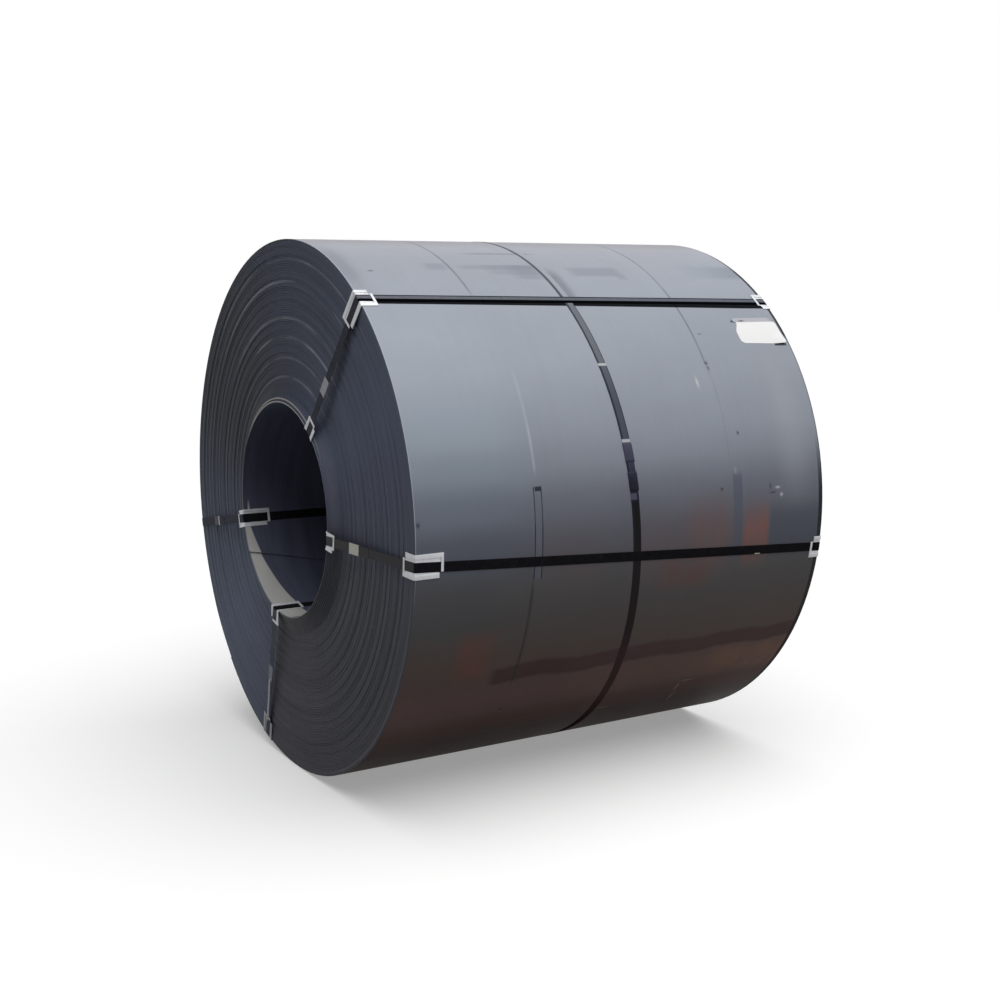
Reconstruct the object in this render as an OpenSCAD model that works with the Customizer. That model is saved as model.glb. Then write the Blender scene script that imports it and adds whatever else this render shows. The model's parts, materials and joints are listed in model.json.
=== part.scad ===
// Hot rolled steel coil on its side, strapped once round the body and four times through the eye.
// Millimetres, +Z up. The coil axis is X, the end with the proud eye faces -X, the floor is z = 0.
// Strap angles go from the top of the coil toward -Y, as a clock seen from the -X end.

/* [Coil] */
// Diameter of the eye
bore_d = 762; // [500:1:800]
// Thickness of the wound strip
strip_t = 6; // [3:0.5:12]
// Number of turns in the wall
turns = 94; // [40:1:140]
// Width of the strip
strip_w = 1650; // [900:10:2000]
// How far the innermost turn stands out of the -X end
telescope = 33; // [5:1:60]
// Width of the ring of turns that steps out to the eye
telescope_ring = 66; // [30:1:120]
// Deepest set-back of a turn's edge
turn_wander = 5; // [0:0.5:9]
// Bevel on both edges of every turn
turn_bevel = 0.9; // [0.3:0.1:1.4]
// Radius the straps and guards take round the corners of the coil
corner_r = 2; // [1:0.1:4]

/* [Straps] */
// Width of the strapping
strap_w = 32; // [19:1:40]
// Thickness of the strapping
strap_t = 0.7; // [0.5:0.05:0.8]
// Lean of the body strap from square to the axis, in degrees
belly_tilt = 3.8; // [0:0.1:6]
// First and last angle of the body strap's lap
belly_lap = [56, 85]; // [0:0.5:360]
// Angles of the two seals on the body strap
belly_seal_at = [74.8, 80.6]; // [0:0.1:360]
// First eye strap: angle at the -X rim, +X rim, -X eye and +X eye
eye_1 = [37.6, 40, 40, 40]; // [0:0.1:360]
// Second eye strap, in the same order
eye_2 = [92.9, 98.7, 97.5, 98]; // [0:0.1:360]
// Third eye strap, in the same order
eye_3 = [196.5, 196, 192.5, 193]; // [0:0.1:360]
// Fourth eye strap, in the same order
eye_4 = [259, 259, 257.5, 255]; // [0:0.1:360]
// Distance of each eye strap's seal from the coil axis
eye_seal_at = [585, 573, 660, 725]; // [480:1:860]
// Length of strap doubled over at an eye seal
eye_lap = 190; // [110:5:260]

/* [Seals] */
// Length of a seal along the strap
seal_l = 62; // [40:1:90]
// Metal of a seal
seal_t = 1; // [0.5:0.1:2]
// Play between a strap and the sides of its seal
seal_play = 0.8; // [0.5:0.1:4]

/* [Corner guards] */
// Width of an outer guard
outer_guard_w = 78; // [64:1:110]
// Sheet of an outer guard
outer_guard_t = 0.8; // [0.75:0.05:1.4]
// Length of an outer guard along the strap, both legs together
outer_guard_l = 164; // [120:1:220]
// How much of each -X outer guard lies along the body of the coil
near_body_leg = [58, 98, 80]; // [30:1:110]
// How much of every +X outer guard lies along the body of the coil
far_body_leg = 46; // [30:1:110]
// Width of an inner guard
inner_guard_w = 64; // [60:1:90]
// Sheet of an inner guard
inner_guard_t = 0.3; // [0.2:0.05:0.4]
// Leg of an inner guard up the end of the coil
inner_guard_end_leg = 58; // [40:1:60]
// Leg of an inner guard along the eye
inner_guard_bore_leg = 105; // [50:1:160]
// Width of the two tabs that reach over a strap from its guard, one from each side
guard_tab = 9; // [4:0.5:12]
// Gap between a tab and the rail that it doesn't grow from
tab_gap = 5; // [2:0.5:8]
// Play between a strap and the side rails of its guard
guard_play = 9; // [8:0.5:11]
// Clearance of a strap over its guard and under the tabs
guard_slack = 0.15; // [0.14:0.01:0.2]

/* [Label] */
// Length of the label along the coil
label_l = 190; // [100:1:300]
// Height of the label round the coil
label_h = 100; // [60:1:150]
// Thickness of the label
label_t = 0.3; // [0.1:0.1:0.6]
// Radius of the label's corners
label_r = 14; // [2:1:30]
// Gap from the label to the +X rim
label_inset = 19; // [5:1:60]
// Angle of the label's middle
label_at = 49.2; // [0:0.1:360]

/* [Hidden] */
$fn = 128;
// Facets of a full turn where a thin cap follows the coil
fine = 256;

eye = [eye_1, eye_2, eye_3, eye_4];
bore_r = bore_d / 2;
wall = turns * strip_t;
coil_r = bore_r + wall;
half_w = strip_w / 2;

// Corners of the section of the wall, as [radius, distance along the axis], that the straps bend round;
// the fourth is the knee where the +X end starts to sink to the eye
near_eye = 0;
near_rim = 1;
far_rim = 2;
far_eye = 4;
seat = [
    [bore_r, -half_w - telescope * (1 + strip_t / wall)],
    [coil_r, -half_w],
    [coil_r, half_w],
    [bore_r + telescope_ring, half_w],
    [bore_r, half_w - telescope]];
// Sheet of the guards, and height of the straps' underside, at each corner
sheet = [inner_guard_t, outer_guard_t, outer_guard_t, inner_guard_t, inner_guard_t];
lift = [for (t = sheet) t + guard_slack];
arc_steps = 4;
// Side of a guard, 1 toward smaller angles, that its first tab starts from: at the rim for each strap, at the eye for all
rim_tab_hand = [1, -1, -1, 1];
eye_tab_hand = -1;
// Waves of the turns' edges, as [share, degrees a turn], and the turns over which they fade in and out
waves = [[0.45, 29], [0.35, 9.7], [0.2, 71]];
near_phase = 20;
far_phase = 65;
fade_in = 5;
fade_out = 7;

// The model stands on the body strap and is centred along the axis
near_end = seat[near_eye][1] - guard_top(near_eye);
far_end = half_w + guard_top(far_rim);
axis_z = coil_r + strap_t;
shift_x = -(near_end + far_end) / 2;
// Overruns of cutting slabs, and degrees that a turned section reaches past its strap
beyond = 40;
overrun = 10;
sweep = 12;

function unit(v) = v / norm(v);
function mix(a, b, s) = a + (b - a) * s;
function reversed(list) = [for (i = [len(list) - 1:-1:0]) list[i]];
function last(list) = list[len(list) - 1];

// Height of the top of a guard at corner k
function guard_top(k) = lift[k] + strap_t + lift[k];

// Direction and outward normal of the side that starts at a corner of the section
function side_dir(k) = unit(seat[(k + 1) % 5] - seat[k % 5]);
function side_normal(k) = let (d = side_dir(k)) [d[1], -d[0]];

// Bend round corner k at height h over the section
function bend(k, h) =
    let (n1 = side_normal(k + 4), n2 = side_normal(k),
        centre = seat[k] - corner_r * (n1 + n2) / (1 + n1 * n2),
        a1 = atan2(n1[1], n1[0]),
        turn = (atan2(n2[1], n2[0]) - a1 + 360) % 360)
    [for (j = [0:arc_steps]) let (a = a1 + turn * j / arc_steps) centre + (corner_r + h) * [cos(a), sin(a)]];

// Closed line round the section at height h over the guards
function loop(h) = [for (k = [0:4], p = bend(k, lift[k] + h)) p];

// Line along both legs of a guard at corner k, at height h
function legs(k, h, first, second) = concat(
    [seat[k] - side_dir(k + 4) * first + side_normal(k + 4) * h],
    bend(k, h),
    [seat[k] + side_dir(k) * second + side_normal(k) * h]);

// Line at height h along the end of the first or second leg, as long as the rail is cut back beside a tab
function leg_end(k, leg, h, length) =
    let (side = leg == 0 ? k + 4 : k, out = leg == 0 ? -side_dir(side) : side_dir(side))
    [for (d = [length - guard_tab - tab_gap, length + overrun]) seat[k] + out * d + side_normal(side) * h];

// Point of the straight run of an eye strap over the -X end, at radius r and height h over its underside
function run_point(r, h) =
    mix(last(bend(near_eye, lift[near_eye] + h)), bend(near_rim, lift[near_rim] + h)[0], (r - bore_r) / wall);

// Set-back of turn i at either end: short and long waves, with none where straps and guards bear
knee_turn = ceil(telescope_ring / strip_t);
function bearing_fade(i) = max(0, min(1, (i - knee_turn) / fade_in, (turns - 2 - i) / fade_out));
function set_back(i, phase) = turn_wander * bearing_fade(i)
    * [for (w = waves) w[0]] * [for (j = [0:len(waves) - 1]) pow(sin(waves[j][1] * i + (j + 1) * phase), 2)];
function turn_r(i) = bore_r + i * strip_t;
function step_out(i) = telescope * max(0, 1 - (turn_r(i) - bore_r) / telescope_ring);
function near_edge(i) = -half_w - step_out(i) + set_back(i, near_phase);
function far_edge(i) = half_w - step_out(i) - set_back(i, far_phase);

// Stations of one end from the eye to the rim: two on the edge of each turn, one in the groove beside it
function near_line() = [for (i = [0:turns - 1], p = [
    [turn_r(i) + (i == 0 ? corner_r : turn_bevel), near_edge(i)],
    [turn_r(i + 1) - (i == turns - 1 ? corner_r : turn_bevel), near_edge(i)],
    [turn_r(i + 1), i == turns - 1 ? near_edge(i) + corner_r
        : max(near_edge(i), near_edge(i + 1)) + turn_bevel]]) p];
function far_line() = [for (i = [0:turns - 1], p = [
    [turn_r(i) + (i == 0 ? corner_r : turn_bevel), far_edge(i)],
    [turn_r(i + 1) - (i == turns - 1 ? corner_r : turn_bevel), far_edge(i)],
    [turn_r(i + 1), i == turns - 1 ? far_edge(i) - corner_r
        : min(far_edge(i), far_edge(i + 1)) - turn_bevel]]) p];

// Puts a piece made about the axis into the frame of the part
module place() translate([shift_x, 0, axis_z]) children();

// Turns a [radius, axial] profile about the axis from one strap angle to another
module turned(from, to)
    rotate([180, 0, 0]) rotate([0, 90, 0]) rotate([0, 0, from])
    rotate_extrude(angle = to - from) children();

module full_turned()
    rotate([0, 90, 0]) rotate_extrude() children();

// Upright slab of width w on the top side, turned to a strap angle and set off to the side of smaller angles
module slab(at, w, off = 0)
    rotate([at, 0, 0]) translate([-strip_w, off - w / 2, 0]) cube([2 * strip_w, w, 2 * coil_r]);

// Slab of width w along the axis at radius r, from one angle at the -X corner to another at the +X corner
module lengthwise_slab(r, at_near, at_far, w) {
    skew = atan(r * (at_near - at_far) * PI / 180 / strip_w);
    rotate([(at_near + at_far) / 2, 0, 0]) rotate([0, 0, skew])
    translate([-strip_w, -w / 2, r - overrun]) cube([2 * strip_w, w, 2 * overrun]);
}

// Slab of width w over one end, from angle at_eye at the eye to angle at_rim at the rim
module end_slab(at_eye, at_rim, w, from_x, to_x) {
    a = [-bore_r * sin(at_eye), bore_r * cos(at_eye)];
    b = [-coil_r * sin(at_rim), coil_r * cos(at_rim)];
    d = b - a;
    translate([0, a[0], a[1]]) rotate([atan2(-d[0], d[1]), 0, 0])
    translate([from_x, -w / 2, -overrun]) cube([to_x - from_x, w, norm(d) + 2 * overrun]);
}

module band(line_in, line_out) polygon(concat(line_out, reversed(line_in)));

module ring_section(h1, h2) {
    inner = loop(h1);
    outer = loop(h2);
    n = len(inner);
    polygon(concat(outer, inner), [[for (i = [0:n - 1]) i], [for (i = [n:2 * n - 1]) i]]);
}

// Slab of the run over the -X end for eye strap s
module near_end_slab(s, w)
    end_slab(eye[s][2], eye[s][0], w, -half_w - telescope - beyond, -half_w + corner_r);

// Length of an eye strap over the -X end, between heights h1 and h2 over its underside
module run_section(s, length, h1, h2) {
    r1 = eye_seal_at[s] - length / 2;
    r2 = eye_seal_at[s] + length / 2;
    polygon([run_point(r1, h2), run_point(r2, h2), run_point(r2, h1), run_point(r1, h1)]);
}

module coil()
    color([0.42, 0.45, 0.49]) place() full_turned()
    polygon(concat(
        [[bore_r, near_edge(0) + corner_r]], near_line(), reversed(far_line()),
        [[bore_r, far_edge(0) - corner_r]]));

// Slab the body strap is cut from
module belly_slab(w)
    rotate([0, -belly_tilt, 0]) cube([w, 3 * coil_r, 3 * coil_r], center = true);

module belly_strap()
    color([0.1, 0.1, 0.12]) place() intersection() {
        union() {
            full_turned() translate([coil_r, -half_w]) square([strap_t, strip_w]);
            turned(belly_lap[0], belly_lap[1])
            translate([coil_r + strap_t / 2, -half_w]) square([1.5 * strap_t, strip_w]);
        }
        belly_slab(strap_w);
    }

module belly_seal(k) {
    half_a = seal_l / coil_r * 90 / PI;
    $fn = fine;
    color([0.15, 0.15, 0.18]) place() difference() {
        intersection() {
            turned(belly_seal_at[k] - half_a, belly_seal_at[k] + half_a)
            translate([coil_r, -half_w]) square([2 * strap_t + seal_t, strip_w]);
            belly_slab(strap_w + 2 * (seal_play + seal_t));
        }
        intersection() {
            turned(belly_seal_at[k] - 2 * half_a, belly_seal_at[k] + 2 * half_a)
            translate([coil_r - seal_t, -half_w]) square([2 * strap_t + seal_t, strip_w]);
            belly_slab(strap_w + 2 * seal_play);
        }
    }
}

module eye_strap(s) {
    at = eye[s];
    color([0.1, 0.1, 0.12]) place() union() {
        intersection() {
            turned(min(at) - sweep, max(at) + sweep) ring_section(0, strap_t);
            union() {
                lengthwise_slab(coil_r, at[0], at[1], strap_w);
                lengthwise_slab(bore_r, at[2], at[3], strap_w);
                near_end_slab(s, strap_w);
                end_slab(at[3], at[1], strap_w, half_w - telescope - corner_r, half_w + beyond);
            }
        }
        intersection() {
            turned(min(at) - sweep, max(at) + sweep) run_section(s, eye_lap, strap_t / 2, 2 * strap_t);
            near_end_slab(s, strap_w);
        }
    }
}

module eye_seal(s) {
    color([0.7, 0.71, 0.73]) place() difference() {
        intersection() {
            turned(min(eye[s]) - sweep, max(eye[s]) + sweep)
            run_section(s, seal_l, -seal_t, 2 * strap_t + seal_t);
            near_end_slab(s, strap_w + 2 * (seal_play + seal_t));
        }
        intersection() {
            turned(min(eye[s]) - sweep, max(eye[s]) + sweep) run_section(s, 2 * seal_l, 0, 2 * strap_t);
            near_end_slab(s, strap_w + 2 * seal_play);
        }
    }
}

// Block over both legs of a guard at corner k, from height h1 to h2, of width w and set off sideways
module leg_block(k, at, h1, h2, first, second, w, off = 0) {
    span = outer_guard_w / seat[k][0] * 180 / PI;
    intersection() {
        turned(at - span, at + span) band(legs(k, h1, first, second), legs(k, h2, first, second));
        slab(at, w, off);
    }
}

// Cut through a guard at the end of its first or second leg, beside the tip of the tab there
module notch(k, at, leg, length, w, off) {
    outline = concat(leg_end(k, leg, -overrun, length), reversed(leg_end(k, leg, overrun, length)));
    rotate([at, 0, 0]) translate([0, off + w / 2, 0]) rotate([90, 0, 0])
    linear_extrude(w) polygon([for (p = outline) [p[1], p[0]]]);
}

// Folded plate under the strap at corner k, with a rail each side and a tab over the strap at each end;
// opposite each tab's root the rail is cut back
module guard(k, at, hand, w, first, second) {
    top = guard_top(k);
    opening = strap_w + 2 * guard_play;
    notch_w = (w - opening) / 2 + tab_gap + overrun;
    notch_off = hand * (opening / 2 - tab_gap + notch_w / 2);
    color([0.8, 0.81, 0.83]) place() difference() {
        leg_block(k, at, 0, top, first, second, w);
        leg_block(k, at, sheet[k], top - sheet[k], first + guard_tab, second + guard_tab, opening);
        leg_block(k, at, top / 2, 2 * top, first - guard_tab, second - guard_tab, opening);
        notch(k, at, 0, first, notch_w, -notch_off);
        notch(k, at, 1, second, notch_w, notch_off);
    }
}

module rim_guard_near(s)
    guard(near_rim, eye[s][0], rim_tab_hand[s], outer_guard_w, outer_guard_l - near_body_leg[s], near_body_leg[s]);

module rim_guard_far(s)
    guard(far_rim, eye[s][1], rim_tab_hand[s], outer_guard_w, far_body_leg, outer_guard_l - far_body_leg);

module eye_guard_near(s)
    guard(near_eye, eye[s][2], eye_tab_hand, inner_guard_w, inner_guard_bore_leg, inner_guard_end_leg);

module eye_guard_far(s)
    guard(far_eye, eye[s][3], eye_tab_hand, inner_guard_w, inner_guard_end_leg, inner_guard_bore_leg);

module label() {
    half_a = label_h / coil_r * 90 / PI;
    corner = [label_l / 2 - label_r, label_h / 2 - label_r];
    color([0.95, 0.95, 0.94]) place() intersection() {
        turned(label_at - 2 * half_a, label_at + 2 * half_a)
        translate([coil_r, 0]) square([label_t, half_w]);
        rotate([label_at, 0, 0]) translate([half_w - label_inset - label_l / 2, 0, 0])
        linear_extrude(2 * coil_r) union() {
            square([label_l, 2 * corner[1]], center = true);
            square([2 * corner[0], label_h], center = true);
            for (x = [-1, 1], y = [-1, 1]) translate([x * corner[0], y * corner[1]]) circle(label_r);
        }
    }
}

coil();
belly_strap();
belly_seal(0);  // belly_seal_1
belly_seal(1);  // belly_seal_2
eye_strap(0);  // eye_strap_1
eye_strap(1);  // eye_strap_2
eye_strap(2);  // eye_strap_3
eye_strap(3);  // eye_strap_4
eye_seal(0);  // eye_seal_1
eye_seal(1);  // eye_seal_2
eye_seal(2);  // eye_seal_3
eye_seal(3);  // eye_seal_4
rim_guard_near(0);  // rim_guard_near_1
rim_guard_near(1);  // rim_guard_near_2
rim_guard_near(2);  // rim_guard_near_3
rim_guard_far(0);  // rim_guard_far_1
rim_guard_far(1);  // rim_guard_far_2
rim_guard_far(2);  // rim_guard_far_3
rim_guard_far(3);  // rim_guard_far_4
eye_guard_near(0);  // eye_guard_near_1
eye_guard_near(1);  // eye_guard_near_2
eye_guard_near(2);  // eye_guard_near_3
eye_guard_near(3);  // eye_guard_near_4
eye_guard_far(0);  // eye_guard_far_1
eye_guard_far(1);  // eye_guard_far_2
eye_guard_far(2);  // eye_guard_far_3
eye_guard_far(3);  // eye_guard_far_4
label();
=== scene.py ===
"""Looks of a steel coil lying on its side, strapped round the body and through the eye."""

import json
import math

import bpy
import numpy as np
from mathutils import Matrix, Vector


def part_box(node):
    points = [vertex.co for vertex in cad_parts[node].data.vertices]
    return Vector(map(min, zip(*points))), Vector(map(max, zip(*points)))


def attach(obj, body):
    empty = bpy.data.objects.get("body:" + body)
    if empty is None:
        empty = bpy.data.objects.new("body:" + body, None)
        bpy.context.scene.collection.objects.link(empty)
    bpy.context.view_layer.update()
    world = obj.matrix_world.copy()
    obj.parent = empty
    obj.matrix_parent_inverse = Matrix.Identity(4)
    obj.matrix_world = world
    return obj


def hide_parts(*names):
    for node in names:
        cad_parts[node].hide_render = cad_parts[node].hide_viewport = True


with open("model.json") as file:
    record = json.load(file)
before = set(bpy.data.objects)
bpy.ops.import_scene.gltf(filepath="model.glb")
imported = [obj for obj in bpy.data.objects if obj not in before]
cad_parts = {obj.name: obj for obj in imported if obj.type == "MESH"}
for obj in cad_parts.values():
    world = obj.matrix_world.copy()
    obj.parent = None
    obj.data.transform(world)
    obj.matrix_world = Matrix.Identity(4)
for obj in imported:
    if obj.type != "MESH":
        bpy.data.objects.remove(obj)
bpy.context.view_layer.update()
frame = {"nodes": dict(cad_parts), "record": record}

# Metres, +Z up, the coil axis along X. Angles go from the top of the coil toward -Y.
MM = 0.001
HALF_TURN = 180.0
FULL_TURN = 360.0
eye_mount = next(m for m in frame["record"]["mounts"] if m["name"] == "eye")
coil_low, coil_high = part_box("coil")
label_low, label_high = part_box("label")

# Driving sizes of the part
STRIP_T = 6 * MM
STRIP_W = 1650 * MM
TELESCOPE_RING = 66 * MM
TURN_WANDER = 5 * MM
TURN_BEVEL = 0.9 * MM
CORNER = 2 * MM
STRAP_T = 0.7 * MM
STRAP_W = 32 * MM
BELLY_TILT = 3.8
BELLY_WANDER = 1.2 * MM
BELLY_LAP = (56, 85)
# Places in a row of EYE_ANGLES: where an eye strap passes the two rims and the two edges of the eye
NEAR_RIM, FAR_RIM, NEAR_EYE, FAR_EYE = range(4)
EYE_ANGLES = (
    (37.6, 40, 40, 40),
    (92.9, 98.7, 97.5, 98),
    (196.5, 196, 192.5, 193),
    (259, 259, 257.5, 255),
)
# Distance of each eye strap's seal from the axis
EYE_SEAL_AT = (585 * MM, 573 * MM, 660 * MM, 725 * MM)
EYE_SEAL_L = 62 * MM
EYE_LAP = 190 * MM
# Height of the eye straps over the edges of the eye and over the rims
INNER_LIFT = 0.45 * MM
OUTER_LIFT = 0.95 * MM
LABEL_H = 100 * MM
LABEL_T = 0.3 * MM
LABEL_AT = 49.2

AXIS_Z = eye_mount["pos_m"][2]
BORE_R = eye_mount["dims"]["r_mm"] * MM
COIL_R = AXIS_Z - STRAP_T
WALL = COIL_R - BORE_R
TURNS = round(WALL / STRIP_T)
MOUTH_X = coil_low.x
FAR_RIM_X = coil_high.x
NEAR_RIM_X = FAR_RIM_X - STRIP_W
MID_X = (FAR_RIM_X + NEAR_RIM_X) / 2
TELESCOPE = NEAR_RIM_X - MOUTH_X
LABEL_START = LABEL_AT - math.degrees(LABEL_H / 2 / COIL_R)
LABEL_END = 2 * LABEL_AT - LABEL_START

# Step between the noise patterns of different seeds, and the values that most of a noise lies between
SEED_STEP = 17.0
NOISE_RANGE = (0.3, 0.7)
# Faces that meet at more than this many degrees keep a sharp edge
SHARP_FROM = 40
LABEL_SHARP_FROM = 50


def smooth(t):
    t = np.clip(t, 0.0, 1.0)
    return t * t * (3 - 2 * t)


def on_coil(x, radius, angle):
    """Points at axial position x, distance radius from the axis and angle in degrees."""
    a = np.radians(angle)
    return np.stack(np.broadcast_arrays(x, -radius * np.sin(a), AXIS_Z + radius * np.cos(a)), -1)


def new_object(name, points, faces, materials, face_slots=None, smooth_angle=None):
    mesh = bpy.data.meshes.new(name)
    mesh.from_pydata([tuple(p) for p in points], [], [tuple(f) for f in faces])
    for material in materials:
        mesh.materials.append(material)
    if face_slots is not None:
        mesh.polygons.foreach_set("material_index", face_slots)
    if smooth_angle is not None:
        mesh.polygons.foreach_set("use_smooth", [True] * len(mesh.polygons))
        mesh.set_sharp_from_angle(angle=math.radians(smooth_angle))
    mesh.update()
    obj = bpy.data.objects.new(name, mesh)
    bpy.context.scene.collection.objects.link(obj)
    return obj


def adopt(obj, replaced):
    """Makes an object part of the coil in place of a solid."""
    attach(obj, "root")
    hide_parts(replaced)


def linear(level):
    """One level of a screen, 0 to 255, as a linear value."""
    if level <= 10:
        return level / 255 / 12.92
    return ((level / 255 + 0.055) / 1.055) ** 2.4


def opaque(red, green, blue):
    """A colour as seen on a screen, 0 to 255, as a node takes it."""
    return linear(red), linear(green), linear(blue), 1.0


class Graph:
    """Short calls that add nodes to one material and return their output sockets."""

    def __init__(self, name):
        self.material = bpy.data.materials.new(name)
        self.material.use_nodes = True
        self.tree = self.material.node_tree
        self.shader = self.tree.nodes["Principled BSDF"]

    def set(self, socket, value):
        if isinstance(value, bpy.types.NodeSocket):
            self.tree.links.new(value, socket)
        else:
            socket.default_value = value

    def node(self, kind, inputs=(), **options):
        made = self.tree.nodes.new(kind)
        for option, value in options.items():
            setattr(made, option, value)
        for key, value in dict(inputs).items():
            self.set(made.inputs[key], value)
        return made

    def math(self, operation, *values):
        return self.node("ShaderNodeMath", enumerate(values), operation=operation).outputs[0]

    def times(self, first, *others):
        for other in others:
            first = self.math("MULTIPLY", first, other)
        return first

    def most(self, values):
        first, *others = values
        for other in others:
            first = self.math("MAXIMUM", first, other)
        return first

    def vector(self, x, y, z):
        return self.node("ShaderNodeCombineXYZ", enumerate((x, y, z))).outputs[0]

    def noise(self, vector, scale=1.0, detail=2.0, roughness=0.5):
        inputs = {"Vector": vector, "Scale": scale, "Detail": detail, "Roughness": roughness}
        return self.node("ShaderNodeTexNoise", inputs).outputs[0]

    def flow(self, x, angle, along, degrees, seed, detail=3.0, roughness=0.55):
        """Noise round the axis, with grains so long along x and so many degrees wide."""
        turn = self.math("MULTIPLY", angle, math.radians(1))
        reach = math.degrees(1) / degrees
        start = self.math("ADD", self.math("DIVIDE", x, along), SEED_STEP * seed)
        side = self.math("MULTIPLY", self.math("SINE", turn), reach)
        up = self.math("MULTIPLY", self.math("COSINE", turn), reach)
        return self.noise(self.vector(start, side, up), 1.0, detail, roughness)

    def full_angle(self, angle):
        """An angle of -180 to 180 degrees as 0 to 360."""
        return self.math("MODULO", self.math("ADD", angle, FULL_TURN), FULL_TURN)

    def fit(self, value, low, high, to_low=0.0, to_high=1.0, kind="LINEAR"):
        inputs = {"Value": value, "From Min": low, "From Max": high, "To Min": to_low, "To Max": to_high}
        return self.node("ShaderNodeMapRange", inputs, interpolation_type=kind).outputs[0]

    def spread(self, noise, low, high):
        """Noise as values from low to high."""
        return self.fit(noise, *NOISE_RANGE, low, high)

    def window(self, value, low, high, soft):
        """1 between low and high, fading to 0 over a soft edge."""
        rise = self.fit(value, low - soft, low + soft, 0.0, 1.0, "SMOOTHSTEP")
        fall = self.fit(value, high - soft, high + soft, 1.0, 0.0, "SMOOTHSTEP")
        return self.times(rise, fall)

    def ramp(self, factor, stops):
        made = self.node("ShaderNodeValToRGB", {0: factor})
        elements = made.color_ramp.elements
        while len(elements) < len(stops):
            elements.new(0.5)
        for element, (place, *colour) in zip(elements, stops):
            element.position = place
            element.color = opaque(*colour)
        return made.outputs[0]

    def tones_round(self, angle, tones):
        """Colour by angle, all the way round."""
        stops = [(at / FULL_TURN, *colour) for at, *colour in tones]
        return self.ramp(self.math("DIVIDE", self.full_angle(angle), FULL_TURN), stops)

    def tones_down(self, angle, tones):
        """Colour by angle from the top, the same on both sides."""
        stops = [(at / HALF_TURN, *colour) for at, *colour in tones]
        return self.ramp(self.math("DIVIDE", self.math("ABSOLUTE", angle), HALF_TURN), stops)

    def mix(self, factor, first, second, blend="MIX"):
        made = self.node("ShaderNodeMix", data_type="RGBA", blend_type=blend)
        self.set(made.inputs[0], factor)
        for socket, value in zip(made.inputs[6:8], (first, second)):
            self.set(socket, value if isinstance(value, bpy.types.NodeSocket) else opaque(*value))
        return made.outputs[2]

    def tint(self, colour, level):
        grey = self.node("ShaderNodeCombineColor", enumerate((level, level, level))).outputs[0]
        return self.mix(1.0, colour, grey, "MULTIPLY")

    def bump(self, height, strength, distance):
        inputs = {"Height": height, "Strength": strength, "Distance": distance}
        return self.node("ShaderNodeBump", inputs).outputs[0]

    def position(self):
        return self.node("ShaderNodeTexCoord").outputs["Object"]

    def across(self):
        """Place across a strap, -1 to 1."""
        return self.node("ShaderNodeAttribute", attribute_name="across").outputs["Fac"]

    def coil_coordinates(self):
        """Axial position, angle in degrees and distance from the axis."""
        parts = self.node("ShaderNodeSeparateXYZ", {0: self.position()}).outputs
        up = self.math("SUBTRACT", parts[2], AXIS_Z)
        side = self.math("MULTIPLY", parts[1], -1.0)
        angle = self.math("MULTIPLY", self.math("ARCTAN2", side, up), math.degrees(1))
        radius = self.math("SQRT", self.math("ADD", self.times(up, up), self.times(side, side)))
        return parts[0], angle, radius

    def spot(self, x, angle, centre, reach):
        """1 in the middle of a soft oval patch on the body and 0 outside."""
        dx = self.math("DIVIDE", self.math("SUBTRACT", x, centre[0]), reach[0])
        da = self.math("DIVIDE", self.math("SUBTRACT", angle, centre[1]), reach[1])
        square = self.math("ADD", self.times(dx, dx), self.times(da, da))
        return self.math("EXPONENT", self.math("MULTIPLY", square, -1.0))

    def finish(self, **sockets):
        for name, value in sockets.items():
            self.set(self.shader.inputs[name.replace("_", " ")], value)
        return self.material


# Mill scale of the body from the top of the coil to the floor, browner low down and darkened by painted shade
# toward the floor: angle and colour as seen on a screen
BODY_TONES_AND_SHADE = [
    (0, 150, 150, 156),
    (8, 156, 156, 163),
    (14, 168, 170, 178),
    (24, 163, 168, 178),
    (46, 164, 170, 181),
    (56, 165, 171, 182),
    (70, 157, 163, 175),
    (76, 147, 153, 165),
    (82, 125, 129, 141),
    (90, 104, 106, 116),
    (97, 91, 90, 93),
    (106, 86, 83, 83),
    (114, 93, 82, 77),
    (119, 95, 82, 78),
    (126, 112, 90, 88),
    (130, 103, 83, 80),
    (134, 82, 62, 57),
    (138, 58, 42, 36),
    (142, 46, 34, 30),
    (180, 42, 34, 31),
]
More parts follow.
